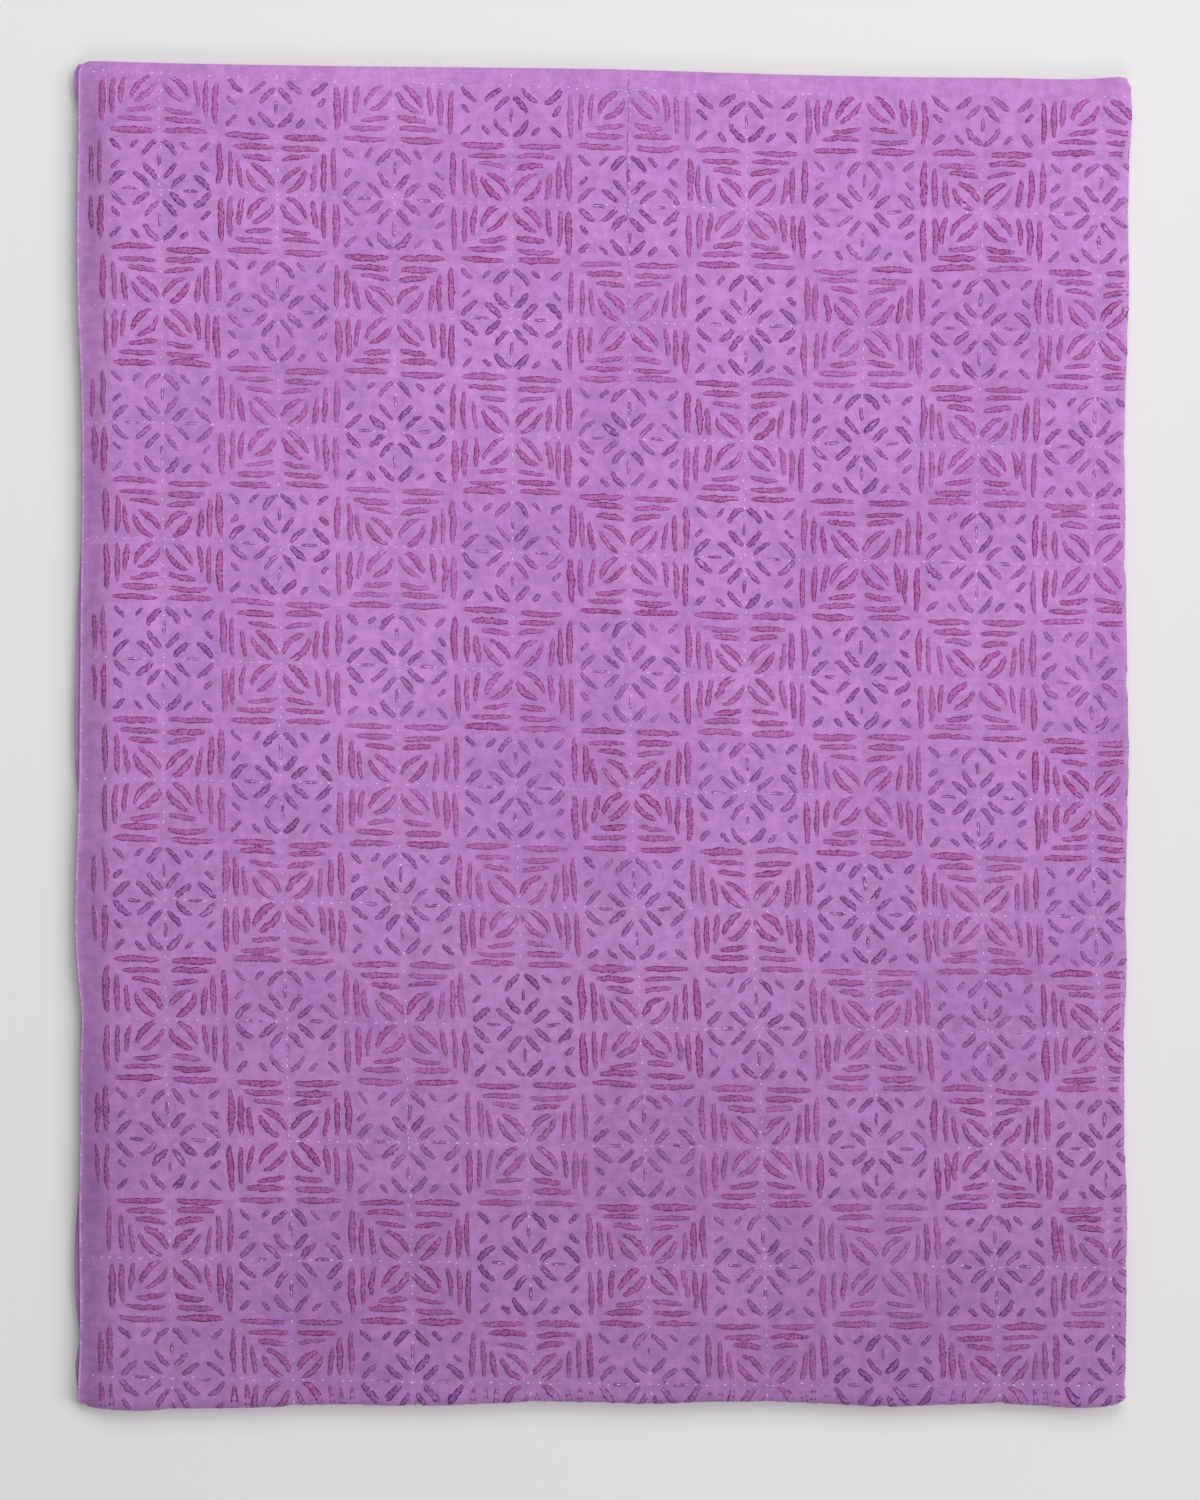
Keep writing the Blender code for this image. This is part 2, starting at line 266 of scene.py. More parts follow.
def frontHeight(u, v):
    column, row = blocksFromCloth(u, v)
    offAcross = np.abs(column % 1 - 0.5) * quilt["blockAcross"]
    offDown = np.abs(row % 1 - 0.5) * quilt["blockDown"]
    width = relief["channelWidth"]
    nearAcross = np.exp(-(offAcross / width) ** 2)
    nearDown = np.exp(-(offDown / width) ** 2)
    pulled = 0.75 + 0.5 * softNoise(u, v, 0.09, 3)
    channel = (1 - (1 - nearAcross) * (1 - nearDown)) * pulled
    dome = np.cos(math.pi * (offAcross / quilt["blockAcross"] - 0.5)) \
        * np.cos(math.pi * (offDown / quilt["blockDown"] - 0.5))
    height = quilt["crown"] / 2 - relief["channelDepth"] * channel - relief["domeDepth"] * (1 - dome)
    shows = ((v < downStraight + math.pi * pairBend / 2) & (u < acrossStraight + math.pi * layerBend)) * 1.0
    pitch = relief["puckerPitch"]
    beside = np.exp(-(offAcross / relief["puckerReach"]) ** 2)
    above = np.exp(-(offDown / relief["puckerReach"]) ** 2)
    pucker = beside * np.sin(2 * math.pi * v / pitch + 3 * softNoise(u, v, 0.05, 4)) \
        + above * np.sin(2 * math.pi * u / pitch + 3 * softNoise(u, v, 0.05, 5))
    crumple = softNoise(u, v, 0.034, 6) + 0.6 * softNoise(u, v, 0.019, 7)
    height = height + shows * (relief["puckerHeight"] * pucker + relief["crumple"] * crumple
                               + creaseHeight(u, v))
    pressed = (v > downStraight + math.pi * pairBend / 2) & (u < acrossStraight)
    flattened = quilt["crown"] / 2 - relief["underFlat"] - relief["underChannel"] * channel
    height = np.where(pressed, flattened, height)
    return height * hemShare(u, v)


def backHeight(u, v):
    column, row = blocksFromCloth(u, v)
    offAcross = np.abs(column % 1 - 0.5) * quilt["blockAcross"]
    offDown = np.abs(row % 1 - 0.5) * quilt["blockDown"]
    width = relief["backChannelWidth"]
    channel = 1 - (1 - np.exp(-(offAcross / width) ** 2)) * (1 - np.exp(-(offDown / width) ** 2))
    return (-quilt["crown"] / 2 + relief["backChannel"] * channel) * hemShare(u, v)


def newPiece(name, places, faces, material, mapsByName):
    # a mesh of many copies of one template, with its maps in cloth or mark coordinates
    mesh = bpy.data.meshes.new(name)
    mesh.from_pydata(places, [], faces)
    mesh.shade_smooth()
    corner = np.empty(len(mesh.loops), dtype=np.int32)
    mesh.loops.foreach_get("vertex_index", corner)
    for mapName, values in mapsByName.items():
        layer = mesh.uv_layers.new(name=mapName)
        layer.uv.foreach_set("vector", np.ascontiguousarray(values[corner], dtype=np.float32).ravel())
    mesh.materials.append(material)
    piece = bpy.data.objects.new(name, mesh)
    bpy.context.scene.collection.objects.link(piece)
    return piece


def newMaterial(name, roughness):
    material = bpy.data.materials.new(name)
    material.use_nodes = True
    tree = material.node_tree
    shader = tree.nodes["Principled BSDF"]
    shader.inputs["Roughness"].default_value = roughness
    shader.inputs["Metallic"].default_value = 0
    shader.inputs["Specular IOR Level"].default_value = 0.18
    return material, tree, shader


def addNode(tree, kind, values=None, **settings):
    node = tree.nodes.new(kind)
    for setting, value in settings.items():
        setattr(node, setting, value)
    for socket, value in (values or {}).items():
        node.inputs[socket].default_value = value
    return node


def mathNode(tree, operation, *values):
    node = addNode(tree, "ShaderNodeMath", operation=operation)
    for k, value in enumerate(values):
        if isinstance(value, (int, float)):
            node.inputs[k].default_value = value
        else:
            tree.links.new(value, node.inputs[k])
    return node.outputs[0]


def mixColours(tree, factor, first, second, blend="MIX"):
    node = addNode(tree, "ShaderNodeMix", data_type="RGBA", blend_type=blend)
    for socket, value in ((0, factor), (6, first), (7, second)):
        if isinstance(value, (int, float)):
            node.inputs[socket].default_value = value
        elif isinstance(value, tuple):
            node.inputs[socket].default_value = (*value, 1)
        else:
            tree.links.new(value, node.inputs[socket])
    return node.outputs[2]


def rangeOf(tree, value, low, high, toLow=0.0, toHigh=1.0):
    node = addNode(tree, "ShaderNodeMapRange", {"From Min": low, "From Max": high,
                                                "To Min": toLow, "To Max": toHigh},
                   interpolation_type="SMOOTHSTEP")
    tree.links.new(value, node.inputs["Value"])
    return node.outputs["Result"]


def noiseOf(tree, vector, scale, detail=2.0, stretch=(1, 1, 1)):
    mapping = addNode(tree, "ShaderNodeMapping", {"Scale": stretch})
    tree.links.new(vector, mapping.inputs["Vector"])
    node = addNode(tree, "ShaderNodeTexNoise", {"Scale": scale, "Detail": detail})
    tree.links.new(mapping.outputs["Vector"], node.inputs["Vector"])
    return node.outputs["Fac"]


wovenYarns = {
    "alongYarn": 130,         # cells of unevenness a metre along a yarn, and across it
    "acrossYarn": 1500,
    "alongSlub": 30,          # the same for the thicker yarns
    "acrossSlub": 420,
    "slubShare": 0.4,
}


def makeWovenCotton():
    # plain weave with thicker yarns here and there; the vector is in metres of cloth
    group = bpy.data.node_groups.new("wovenCotton", "ShaderNodeTree")
    group.interface.new_socket("Cloth", in_out="INPUT", socket_type="NodeSocketVector")
    group.interface.new_socket("Yarn Shade", in_out="OUTPUT", socket_type="NodeSocketFloat")
    group.interface.new_socket("Height", in_out="OUTPUT", socket_type="NodeSocketFloat")
    start = addNode(group, "NodeGroupInput")
    end = addNode(group, "NodeGroupOutput")
    cloth = start.outputs["Cloth"]
    woven = []
    for along, across, detail in ((wovenYarns["alongYarn"], wovenYarns["acrossYarn"], 2.0),
                                  (wovenYarns["alongSlub"], wovenYarns["acrossSlub"], 3.0)):
        level = noiseOf(group, cloth, 1.0, detail, (along, across, 1))
        upright = noiseOf(group, cloth, 1.0, detail, (across, along, 1))
        woven.append(mathNode(group, "MULTIPLY", mathNode(group, "ADD", level, upright), 0.5))
    yarns, slubs = woven
    fine = mathNode(group, "MULTIPLY", yarns, 1 - wovenYarns["slubShare"])
    coarse = mathNode(group, "MULTIPLY", slubs, wovenYarns["slubShare"])
    group.links.new(mathNode(group, "ADD", fine, coarse), end.inputs["Yarn Shade"])
    group.links.new(yarns, end.inputs["Height"])
    return group


dyeAndShade = {
    # patches a metre, their detail, and the noise values that count as none and as full
    "Clouds": (5.0, 3.0, 0.32, 0.68),
    "Patches": (26.0, 4.0, 0.30, 0.70),
    # painted shade and light of small puffs in the cloth
    "PaintedPuffShade": (85.0, 2.0, 0.30, 0.70),
    # the cloth is darker towards the bottom
    "darkerFrom": 0.50,      # metres down the cloth
    "darkerTo": 1.40,
    # painted shade along the left edge
    "edgeReach": 0.050,
    "edgeShadeShare": 0.30,
}


def makeDyeAndShadeMottle():
    # the over-dye took unevenly in slow clouds and small patches, and the smaller puffs are painted shade
    # and light of the puffed cloth, 0 to 1
    group = bpy.data.node_groups.new("dyeAndShadeMottle", "ShaderNodeTree")
    group.interface.new_socket("Cloth", in_out="INPUT", socket_type="NodeSocketVector")
    for output in ("Clouds", "Patches", "PaintedPuffShade", "Strength"):
        group.interface.new_socket(output, in_out="OUTPUT", socket_type="NodeSocketFloat")
    start = addNode(group, "NodeGroupInput")
    end = addNode(group, "NodeGroupOutput")
    cloth = start.outputs["Cloth"]
    for output in ("Clouds", "Patches", "PaintedPuffShade"):
        scale, detail, none, full = dyeAndShade[output]
        patches = noiseOf(group, cloth, scale, detail)
        group.links.new(rangeOf(group, patches, none, full), end.inputs[output])
    # darker towards the second fold, and painted shade a little along the left edge
    place = addNode(group, "ShaderNodeSeparateXYZ")
    group.links.new(cloth, place.inputs["Vector"])
    downward = rangeOf(group, place.outputs["Y"], dyeAndShade["darkerFrom"], dyeAndShade["darkerTo"])
    edgeShade = rangeOf(group, place.outputs["X"], dyeAndShade["edgeReach"], 0.0, 0.0, dyeAndShade["edgeShadeShare"])
    group.links.new(mathNode(group, "ADD", downward, edgeShade), end.inputs["Strength"])
    return group


wovenCotton = makeWovenCotton()
dyeAndShadeMottle = makeDyeAndShadeMottle()


def groupNode(tree, group, vector):
    node = addNode(tree, "ShaderNodeGroup", node_tree=group)
    tree.links.new(vector, node.inputs["Cloth"])
    return node


lilacCloth = {
    "lilac": (0.510, 0.236, 0.585),
    "deepLilac": (0.445, 0.196, 0.525),
    "pinkLilac": (0.550, 0.246, 0.580),
    "rimHighlightLilac": (0.565, 0.278, 0.625),     # painted highlight on the turned rim of an opening
    "pinkShare": 0.45,
    "yarnShade": 0.14,
    "puffShade": 0.075,
    # painted shade in the old middle crease
    "paintedCreaseShade": (0.36, 0.145, 0.41),
    # painted highlight along the left hem
    "hemHighlight": (0.74, 0.54, 0.78),
    "darkestBrightness": 0.77,      # brightness left where the cloth is darkened most, towards the bottom and by painted shade at the left edge
    "bump": 0.00035,
}


def shaded(tree, colour, mottle, weave):
    # the colour under the cloth's yarns, painted shade and light of small puffs, and darkening towards the
    # bottom with painted shade at the left edge
    half = lilacCloth["yarnShade"]
    puff = lilacCloth["puffShade"]
    yarns = rangeOf(tree, weave.outputs["Yarn Shade"], 0.3, 0.7, 1 - half, 1 + half)
    # painted shade and light of the small puffs
    paintedPuffs = rangeOf(tree, mottle.outputs["PaintedPuffShade"], 0, 1, 1 - puff, 1 + puff)
    # darker towards the bottom, with painted shade along the left edge
    darkenedBy = mathNode(tree, "MULTIPLY", mottle.outputs["Strength"], lilacCloth["darkestBrightness"] - 1)
    darkening = mathNode(tree, "ADD", darkenedBy, 1.0)
    shade = mathNode(tree, "MULTIPLY", mathNode(tree, "MULTIPLY", yarns, paintedPuffs), darkening)
    grey = addNode(tree, "ShaderNodeCombineColor")
    for socket in ("Red", "Green", "Blue"):
        tree.links.new(shade, grey.inputs[socket])
    return mixColours(tree, 1.0, colour, grey.outputs["Color"], "MULTIPLY")


# painted shade of the middle crease and a painted highlight of the left hem
paintedLines = {
    "creaseColumn": 4.5,      # middle of the fifth column of blocks
    "creaseWander": 0.004,
    "creaseEnd": 0.46,        # metres down the cloth where the line has faded out
    "hemFrom": 0.0002,        # the painted highlight strip of the hem, metres in from the edge
    "hemTo": 0.0032,
    "hemLeast": 0.10,
    "hemMost": 0.42,
}


def paintedCreaseShade(tree, cloth):
    # painted shade along the sharp line of the old middle fold
    u0, v0 = clothFromBlocks(paintedLines["creaseColumn"], -0.5)
    u1, v1 = clothFromBlocks(paintedLines["creaseColumn"], 3.0)
    place = addNode(tree, "ShaderNodeSeparateXYZ")
    tree.links.new(cloth, place.inputs["Vector"])
    lean = (u1 - u0) / (v1 - v0)
    line = mathNode(tree, "MULTIPLY_ADD", place.outputs["Y"], lean, u0 - lean * v0)
    wander = mathNode(tree, "MULTIPLY_ADD", noiseOf(tree, cloth, 1.0, 1.0, (0, 30, 1)),
                      paintedLines["creaseWander"], -paintedLines["creaseWander"] / 2)
    off = mathNode(tree, "SUBTRACT", mathNode(tree, "SUBTRACT", place.outputs["X"], line), wander)
    near = rangeOf(tree, mathNode(tree, "ABSOLUTE", off), 0.0016, 0.0004)
    fades = rangeOf(tree, place.outputs["Y"], paintedLines["creaseEnd"], 0.02)
    broken = rangeOf(tree, noiseOf(tree, cloth, 1.0, 2.0, (0, 90, 1)), 0.30, 0.55)
    return mathNode(tree, "MULTIPLY", mathNode(tree, "MULTIPLY", near, fades), broken)


def hemHighlight(tree, cloth):
    # a painted highlight along the turned edge on the left
    place = addNode(tree, "ShaderNodeSeparateXYZ")
    tree.links.new(cloth, place.inputs["Vector"])
    outer = rangeOf(tree, place.outputs["X"], paintedLines["hemFrom"], 0.0008)
    inner = rangeOf(tree, place.outputs["X"], paintedLines["hemTo"], 0.0018)
    unevenHighlight = rangeOf(tree, noiseOf(tree, cloth, 1.0, 2.0, (0, 60, 1)), 0.30, 0.60,
                   paintedLines["hemLeast"], paintedLines["hemMost"])
    return mathNode(tree, "MULTIPLY", mathNode(tree, "MULTIPLY", outer, inner), unevenHighlight)


def makeLilacCotton():
    material, tree, shader = newMaterial("lilacCotton", 0.93)
    cloth = addNode(tree, "ShaderNodeUVMap", uv_map="cloth").outputs["UV"]
    mottle = groupNode(tree, dyeAndShadeMottle, cloth)
    weave = groupNode(tree, wovenCotton, cloth)
    colour = mixColours(tree, mottle.outputs["Clouds"], lilacCloth["deepLilac"], lilacCloth["lilac"])
    pink = mathNode(tree, "MULTIPLY", mottle.outputs["Patches"], lilacCloth["pinkShare"])
    colour = mixColours(tree, pink, colour, lilacCloth["pinkLilac"])
    colour = shaded(tree, colour, mottle, weave)
    # painted shade along the old middle crease
    colour = mixColours(tree, paintedCreaseShade(tree, cloth), colour, lilacCloth["paintedCreaseShade"])
    # painted highlight along the left hem
    colour = mixColours(tree, hemHighlight(tree, cloth), colour, lilacCloth["hemHighlight"])
    tree.links.new(colour, shader.inputs["Base Color"])
    bump = addNode(tree, "ShaderNodeBump", {"Strength": 0.6, "Distance": lilacCloth["bump"]})
    tree.links.new(weave.outputs["Height"], bump.inputs["Height"])
    tree.links.new(bump.outputs["Normal"], shader.inputs["Normal"])
    shader.inputs["Sheen Weight"].default_value = 0.12
    shader.inputs["Sheen Roughness"].default_value = 0.5
    return material


openingCloth = {
    "mauve": (0.410, 0.145, 0.430),
    "mauveShare": 0.45,       # most that a mark turns to mauve
    "faintShare": 0.40,       # most that a mark fades into the lilac
    "faintStitches": 0.60,    # how dark the stitches of the faintest mark are
    "dashesAMetre": 430.0,
    "flecksAMetre": 400.0,
    "fleckStrength": 0.62,
    "bump": 0.0003,
}


def makeCutworkMaterial(name, fill, fillDeep, stitchAndShade):
    # the under cloth in a cutwork opening, with the turned rim's short dark stitches and painted shade of
    # the recess along the rim, and a painted highlight just outside it
    # map "mark": x is metres along the mark, y is -1 to 1 across it
    # map "tone": x is how faint the mark is, y a number of its own from 0 to 1
    material, tree, shader = newMaterial(name, 0.93)
    markMap = addNode(tree, "ShaderNodeUVMap", uv_map="mark").outputs["UV"]
    toneMap = addNode(tree, "ShaderNodeUVMap", uv_map="tone").outputs["UV"]
    clothMap = addNode(tree, "ShaderNodeUVMap", uv_map="cloth").outputs["UV"]
    weave = groupNode(tree, wovenCotton, clothMap)
    mottle = groupNode(tree, dyeAndShadeMottle, clothMap)
    mark = addNode(tree, "ShaderNodeSeparateXYZ")
    tree.links.new(markMap, mark.inputs["Vector"])
    tone = addNode(tree, "ShaderNodeSeparateXYZ")
    tree.links.new(toneMap, tone.inputs["Vector"])
    fromMiddle = mathNode(tree, "ABSOLUTE", mark.outputs["Y"])
    patchy = noiseOf(tree, clothMap, 240.0, 3.0)
    colour = mixColours(tree, rangeOf(tree, patchy, 0.38, 0.62), fillDeep, fill)
    mauve = mathNode(tree, "MULTIPLY", rangeOf(tree, tone.outputs["Y"], 0.35, 0.95),
                     openingCloth["mauveShare"])
    colour = mixColours(tree, mauve, colour, openingCloth["mauve"])
    faint = mathNode(tree, "MULTIPLY", tone.outputs["X"], openingCloth["faintShare"])
    colour = mixColours(tree, faint, colour, lilacCloth["lilac"])
    # dark rim stitches, with painted shade of the recess under the turned rim
    onRim = mathNode(tree, "MULTIPLY", rangeOf(tree, fromMiddle, 0.38, 0.54),
                     rangeOf(tree, fromMiddle, 0.84, 0.72))
    # the two sides of a mark and each mark read their own part of the noise
    side = mathNode(tree, "SIGN", mark.outputs["Y"])
    dashPlace = addNode(tree, "ShaderNodeCombineXYZ")
    for socket, value, scale in (("X", mark.outputs["X"], openingCloth["dashesAMetre"]), ("Y", side, 7.0),
                                 ("Z", tone.outputs["Y"], 40.0)):
        tree.links.new(mathNode(tree, "MULTIPLY", value, scale), dashPlace.inputs[socket])
    dashNoise = addNode(tree, "ShaderNodeTexNoise", {"Scale": 1.0, "Detail": 1.0})
    tree.links.new(dashPlace.outputs["Vector"], dashNoise.inputs["Vector"])
    dashes = rangeOf(tree, dashNoise.outputs["Fac"], 0.38, 0.52)
    stitchesAndShade = mathNode(tree, "MULTIPLY", onRim, dashes)
    flecks = rangeOf(tree, noiseOf(tree, clothMap, openingCloth["flecksAMetre"], 2.0), 0.50, 0.62)
    inside = rangeOf(tree, fromMiddle, 0.60, 0.40)
    flecked = mathNode(tree, "MULTIPLY", mathNode(tree, "MULTIPLY", flecks, inside),
                       openingCloth["fleckStrength"])
    stitchesAndShade = mathNode(tree, "MAXIMUM", stitchesAndShade, flecked)
    kept = rangeOf(tree, tone.outputs["X"], 0.0, 1.0, 1.0, openingCloth["faintStitches"])
    stitchesAndShade = mathNode(tree, "MULTIPLY", stitchesAndShade, kept)
    colour = mixColours(tree, stitchesAndShade, colour, stitchAndShade)
    # a painted highlight on the puffed rim just outside the opening
    outward = rangeOf(tree, fromMiddle, 0.78, 1.0)
    rim = mixColours(tree, outward, lilacCloth["rimHighlightLilac"], lilacCloth["lilac"])
    colour = mixColours(tree, rangeOf(tree, fromMiddle, 0.74, 0.82), colour, rim)
    colour = shaded(tree, colour, mottle, weave)
    tree.links.new(colour, shader.inputs["Base Color"])
    bump = addNode(tree, "ShaderNodeBump", {"Strength": 0.5, "Distance": openingCloth["bump"]})
    height = mathNode(tree, "SUBTRACT", weave.outputs["Height"], mathNode(tree, "MULTIPLY", stitchesAndShade, 0.8))
    tree.links.new(height, bump.inputs["Height"])
    tree.links.new(bump.outputs["Normal"], shader.inputs["Normal"])
    return material


threadTones = {
    "tinted": (0.78, 0.56, 0.80),
    "white": (0.97, 0.85, 0.96),
    "spotsAMetre": 900.0,
}


def makeThreadMaterial():
    material, tree, shader = newMaterial("whiteThread", 0.6)
    place = addNode(tree, "ShaderNodeTexCoord").outputs["Object"]
    shade = noiseOf(tree, place, threadTones["spotsAMetre"], 1.0)
    colour = mixColours(tree, rangeOf(tree, shade, 0.3, 0.7), threadTones["tinted"], threadTones["white"])
    tree.links.new(colour, shader.inputs["Base Color"])
    return material


lilacCotton = makeLilacCotton()
# the last colour is for the rim's dark stitches and their painted shade
crimsonUnderCloth = makeCutworkMaterial("crimsonUnderCloth", (0.450, 0.140, 0.440), (0.385, 0.090, 0.340),
                                         (0.150, 0.020, 0.110))
slateUnderCloth = makeCutworkMaterial("slateUnderCloth", (0.385, 0.128, 0.435), (0.300, 0.094, 0.345),
                                       (0.078, 0.022, 0.115))
whiteThread = makeThreadMaterial()
print("quilt: materials made")

clothGrid = {
    "visibleStep": 0.0080,    # grid of the face that shows
    "hiddenStep": 0.0300,
    "foldSteps": 10,
    "doubleFoldSteps": 14,
    "hemLines": [0, 0.0008, 0.002, 0.0035, 0.006, 0.011],
}


def gridLines(straight, bend, foldSteps):
    total = 2 * straight + math.pi * bend
    hem = clothGrid["hemLines"]
    shownCount = 1 + round((straight - hem[-1]) / clothGrid["visibleStep"])
    shown = np.linspace(hem[-1], straight, shownCount)
    turn = straight + math.pi * bend * np.arange(1, foldSteps + 1) / foldSteps
    hiddenEnd = total - hem[-1]
    hiddenCount = 1 + round((hiddenEnd - turn[-1]) / clothGrid["hiddenStep"])
    hidden = np.linspace(turn[-1], hiddenEnd, hiddenCount)
    return np.concatenate([hem[:-1], shown, turn, hidden[1:], [total - step for step in hem[-2::-1]]])


def makeQuiltCloth():
    # a thin slab with one column and row for each grid line, laid out flat and then folded
    acrossLines = gridLines(acrossStraight, layerBend, clothGrid["foldSteps"])
    downLines = gridLines(downStraight, pairBend, clothGrid["doubleFoldSteps"])
    columns = len(acrossLines) - 1
    rows = len(downLines) - 1
    bm = bmesh.new()
    bmesh.ops.create_grid(bm, x_segments=columns, y_segments=rows, size=0.5)
    bmesh.ops.solidify(bm, geom=bm.faces[:], thickness=0.01)
    mesh = bpy.data.meshes.new("quiltCloth")
    bm.to_mesh(mesh)
    bm.free()
    flat = np.empty(len(mesh.vertices) * 3)
    mesh.vertices.foreach_get("co", flat)
    flat = flat.reshape(-1, 3)
    u = acrossLines[np.rint((flat[:, 0] + 0.5) * columns).astype(int)]
    v = downLines[np.rint((0.5 - flat[:, 1]) * rows).astype(int)]
    front = flat[:, 2] > flat[:, 2].mean()
    w = np.where(front, frontHeight(u, v), backHeight(u, v))
    mesh.vertices.foreach_set("co", np.stack(foldedPlace(u, v, w), 1).ravel())
    corner = np.empty(len(mesh.loops), dtype=np.int32)
    mesh.loops.foreach_get("vertex_index", corner)
    layer = mesh.uv_layers.new(name="cloth")
    layer.uv.foreach_set("vector", np.stack([u, v], 1)[corner].astype(np.float32).ravel())
    mesh.materials.append(lilacCotton)
    mesh.shade_smooth()
    mesh.update()
    piece = bpy.data.objects.new("quiltCloth", mesh)
    bpy.context.scene.collection.objects.link(piece)
    print("quilt: cloth", columns, "x", rows)
    return piece


quiltCloth = makeQuiltCloth()

cutwork = {
    # each mark of an eighth of a block: from (x, y) to (x, y) in half blocks, half width, bow, copies
    "crimson": [
        (0.06, 0.985, 0.90, 0.980, 0.073, 0.00, 8),
        (0.05, 0.795, 0.77, 0.805, 0.066, 0.01, 8),
        (0.05, 0.590, 0.59, 0.665, 0.062, 0.03, 8),
        (0.03, 0.135, 0.450, 0.515, 0.072, 0.12, 8),
    ],
    "slate": [
        (0.01, 0.865, 0.300, 0.560, 0.067, 0.07, 8),
        (0.02, 0.165, 0.285, 0.470, 0.064, -0.03, 8),
        (0.00, 0.370, 0.00, 0.650, 0.037, 0.00, 4),
        (0.66, 0.660, 0.86, 0.860, 0.052, 0.00, 4),
        (0.34, 0.850, 0.50, 0.690, 0.050, 0.00, 8),
    ],
    "parity": {"crimson": 1, "slate": 0},    # which squares of the checkerboard a kind takes
    "stray": 0.010,           # how far the hand cut ends stray, in half blocks
    "widthVaries": (0.80, 1.16),
    "bowVaries": 0.022,
    "edgeWobble": 0.14,       # how unevenly the rim was turned, as a share of the half width
    "fullness": 0.52,         # lower makes the ends blunter
    "rimAt": 0.72,            # the turned rim, as a share of the half width
    "rimLift": 0.0005,
    "floorLift": 0.0001,
    "skirtDrop": 0.0005,
}


def copiesOfMark(mark):
    # the mark turned and mirrored round the block
    x0, y0, x1, y1, halfWidth, bow, copies = mark
    turned = [(1, 1, False), (-1, 1, False), (1, -1, False), (-1, -1, False)]
    if copies == 8:
        turned = turned + [(a, b, True) for a, b, swap in turned]
    elif x0 == 0:
        turned = [(1, 1, False), (1, -1, False), (1, 1, True), (-1, 1, True)]
    found = []
    for a, b, swap in turned:
        if swap:
            found.append((a * y0, b * x0, a * y1, b * x1, halfWidth, -bow * a * b))
        else:
            found.append((a * x0, b * y0, a * x1, b * y1, halfWidth, bow * a * b))
    return found


def leafTemplate(along, across):
    # one leaf from a grid, its ends drawn to a point: columns are the way along, across, and its faces
    bm = bmesh.new()
    bmesh.ops.create_grid(bm, x_segments=along, y_segments=across, size=0.5)
    for vert in bm.verts:
        if abs(vert.co.x) > 0.499:
            vert.co.y = 0
    bmesh.ops.remove_doubles(bm, verts=bm.verts[:], dist=0.0001)
    bm.verts.ensure_lookup_table()
    places = np.array([(vert.co.x + 0.5, vert.co.y * 2) for vert in bm.verts])
    rim = np.isclose(np.abs(places[:, 1]), 0.5)
    places[rim, 1] = places[rim, 1] * 2 * cutwork["rimAt"]
    faces = [[vert.index for vert in face.verts] for face in bm.faces]
    bm.free()
    return places, faces


def marksOf(kind, columns, rows, rng):
    # a row for each mark: its block, its two ends, half width, bow, faintness and own number
    chart = [copy for mark in cutwork[kind] for copy in copiesOfMark(mark)]
    found = []
    for i in columns:
        for j in rows:
            if (i + j) % 2 != cutwork["parity"][kind]:
                continue
            blockTone = rng.uniform(0, 1)
            for x0, y0, x1, y1, halfWidth, bow in chart:
                middleColumn = i + 0.5 + (x0 + x1) / 4
                middleRow = j + 0.5 + (y0 + y1) / 4
                if middleRow < -0.47 or middleColumn < -0.13 or (kind == "slate" and i < 0):
                    continue
                stray = rng.normal(0, cutwork["stray"], 4)
                found.append((i + 0.5, j + 0.5, x0 + stray[0], y0 + stray[1], x1 + stray[2], y1 + stray[3],
                              halfWidth * rng.uniform(*cutwork["widthVaries"]),
                              bow + rng.normal(0, cutwork["bowVaries"]),
                              0.5 * blockTone + 0.5 * rng.uniform(0, 1), rng.uniform(0, 1)))
    return np.array(found)


